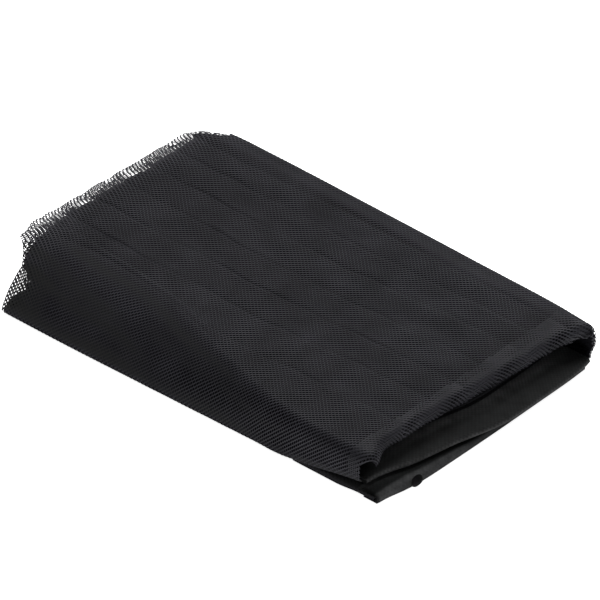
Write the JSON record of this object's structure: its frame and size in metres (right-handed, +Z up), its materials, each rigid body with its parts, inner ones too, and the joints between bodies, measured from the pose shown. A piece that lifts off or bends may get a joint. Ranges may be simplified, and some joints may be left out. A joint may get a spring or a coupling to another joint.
{
  "type": "folded magnetic screen door curtain",
  "caption": "Black mesh screen door curtain folded into a flat packet, with smooth binding tapes showing at its open end.",
  "frame": {"origin": "middle of the packet's box, on the surface it rests on", "axes": "X along the packet's long side with the open end at +X, Y from the sloping front fold to the straight back fold, Z up"},
  "size_m": [0.2725, 0.169, 0.0308],
  "materials": {
    "net": "black polyester hexagonal mesh, fine matt yarn",
    "binding": "black smooth woven polyester tape"
  },
  "bodies": {
    "root": {"net_cloth": "net", "rim_binding": "binding", "slab_binding": "binding", "binding_tab": "binding"}
  },
  "joints": []
}
